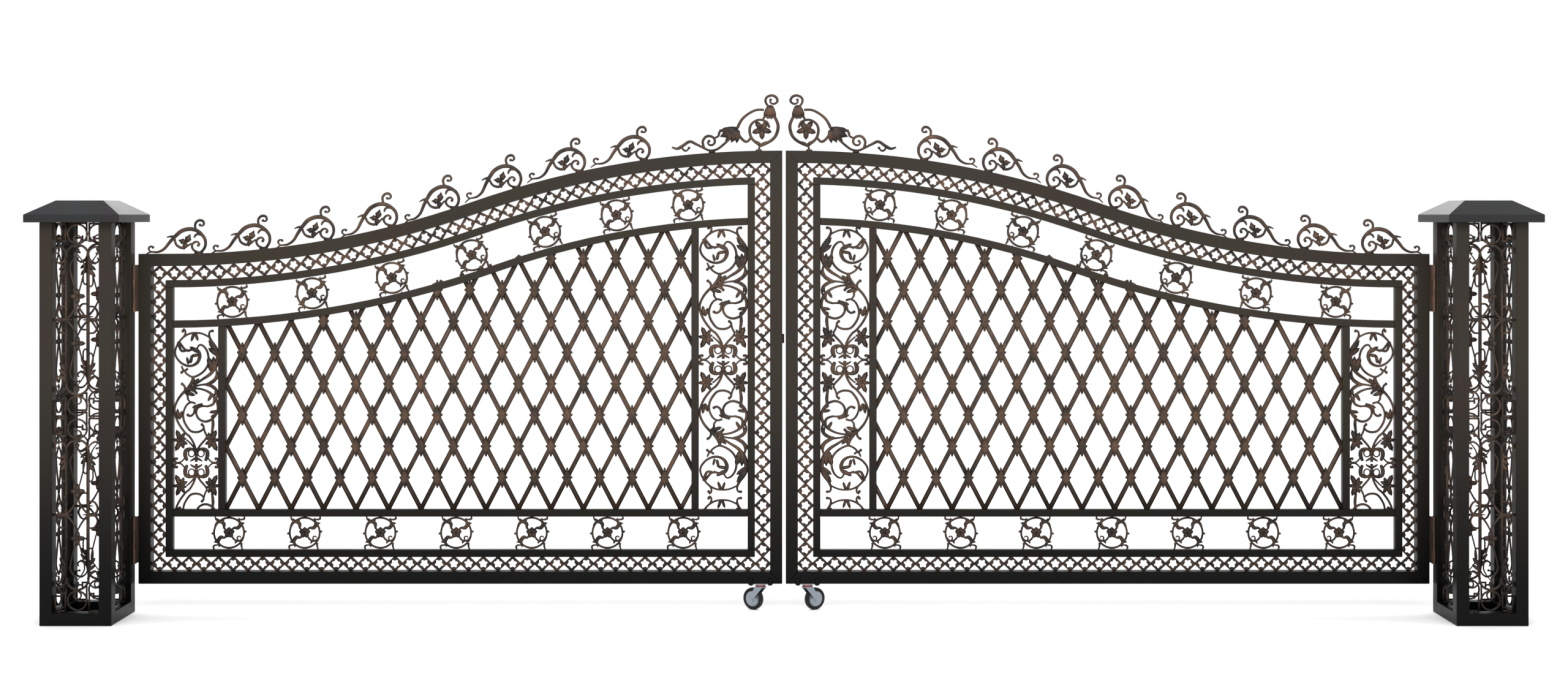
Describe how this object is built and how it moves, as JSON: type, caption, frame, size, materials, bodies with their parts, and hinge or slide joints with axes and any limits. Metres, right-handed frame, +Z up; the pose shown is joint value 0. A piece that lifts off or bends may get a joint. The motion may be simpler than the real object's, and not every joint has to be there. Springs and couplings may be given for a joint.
{
  "type": "double driveway gate",
  "caption": "Pair of openwork swing leaves with an S-curved top, diamond lattice, cast rosettes and scroll crest, on casters, between openwork square posts.",
  "frame": {"origin": "centre of the left post's foot", "axes": "+X along the gate to the right post, +Y into the yard, +Z up"},
  "size_m": [5.958, 0.4102, 2.1171],
  "materials": {
    "bronze_paint": "satin dark bronze paint",
    "cap_paint": "satin charcoal paint",
    "lattice_paint": "dark bronze paint with copper rubbed on the ridges",
    "copper_brushed_casting": "black-brown paint with copper dry-brushed on the high spots",
    "hinge_steel": "bronze paint, rubbed coppery",
    "zinc_plate": "bright zinc plate",
    "caster_tyre": "black moulded rubber"
  },
  "bodies": {
    "posts": {"left_post_frame": "bronze_paint", "left_post_cap": "cap_paint", "left_post_panels": "copper_brushed_casting", "left_post_hinge_halves": "hinge_steel", "right_post_frame": "bronze_paint", "right_post_cap": "cap_paint", "right_post_panels": "copper_brushed_casting", "right_post_hinge_halves": "hinge_steel"},
    "left_leaf": {"left_hinge_stile": "bronze_paint", "left_meeting_stile": "bronze_paint", "left_bottom_rail": "bronze_paint", "left_top_rail": "bronze_paint", "left_inner_stiles": "bronze_paint", "left_inner_rails": "bronze_paint", "left_panel_rails": "bronze_paint", "left_mullions": "bronze_paint", "left_diamond_bands": "copper_brushed_casting", "left_lattice": "lattice_paint", "left_rosettes": "copper_brushed_casting", "left_hinge_scroll_panel": "copper_brushed_casting", "left_meeting_scroll_panel": "copper_brushed_casting", "left_crest_scrolls": "copper_brushed_casting", "left_crest_end_scroll": "copper_brushed_casting", "left_leaf_hinge_halves": "hinge_steel", "left_caster_bracket": "zinc_plate", "stop_lug": "bronze_paint"},
    "right_leaf": {"right_hinge_stile": "bronze_paint", "right_meeting_stile": "bronze_paint", "right_bottom_rail": "bronze_paint", "right_top_rail": "bronze_paint", "right_inner_stiles": "bronze_paint", "right_inner_rails": "bronze_paint", "right_panel_rails": "bronze_paint", "right_mullions": "bronze_paint", "right_diamond_bands": "copper_brushed_casting", "right_lattice": "lattice_paint", "right_rosettes": "copper_brushed_casting", "right_hinge_scroll_panel": "copper_brushed_casting", "right_meeting_scroll_panel": "copper_brushed_casting", "right_crest_scrolls": "copper_brushed_casting", "right_crest_end_scroll": "copper_brushed_casting", "right_leaf_hinge_halves": "hinge_steel", "right_caster_bracket": "zinc_plate"},
    "left_caster_fork_body": {"left_caster_fork": "zinc_plate"},
    "left_caster_wheel_body": {"left_caster_wheel": "caster_tyre"},
    "right_caster_fork_body": {"right_caster_fork": "zinc_plate"},
    "right_caster_wheel_body": {"right_caster_wheel": "caster_tyre"}
  },
  "joints": [
    {"name": "left_leaf_hinge", "type": "hinge", "parent": "posts", "child": "left_leaf", "pos_m": [0.148, 0.142, 0.3], "axis": [0, 0, 1], "range_deg": [0, 90]},
    {"name": "right_leaf_hinge", "type": "hinge", "parent": "posts", "child": "right_leaf", "pos_m": [5.434, 0.142, 0.3], "axis": [0, 0, -1], "range_deg": [0, 90]},
    {"name": "left_caster_swivel", "type": "hinge", "parent": "left_leaf", "child": "left_caster_fork_body", "pos_m": [2.695, 0.167, 0.1], "axis": [0, 0, 1], "continuous": true},
    {"name": "left_wheel_spin", "type": "hinge", "parent": "left_caster_fork_body", "child": "left_caster_wheel_body", "pos_m": [2.66515, 0.18713, 0.045], "axis": [0.5592, 0.829, 0], "continuous": true},
    {"name": "right_caster_swivel", "type": "hinge", "parent": "right_leaf", "child": "right_caster_fork_body", "pos_m": [2.887, 0.167, 0.1], "axis": [0, 0, 1], "continuous": true},
    {"name": "right_wheel_spin", "type": "hinge", "parent": "right_caster_fork_body", "child": "right_caster_wheel_body", "pos_m": [2.91684, 0.18713, 0.045], "axis": [-0.5592, 0.829, 0], "continuous": true}
  ]
}
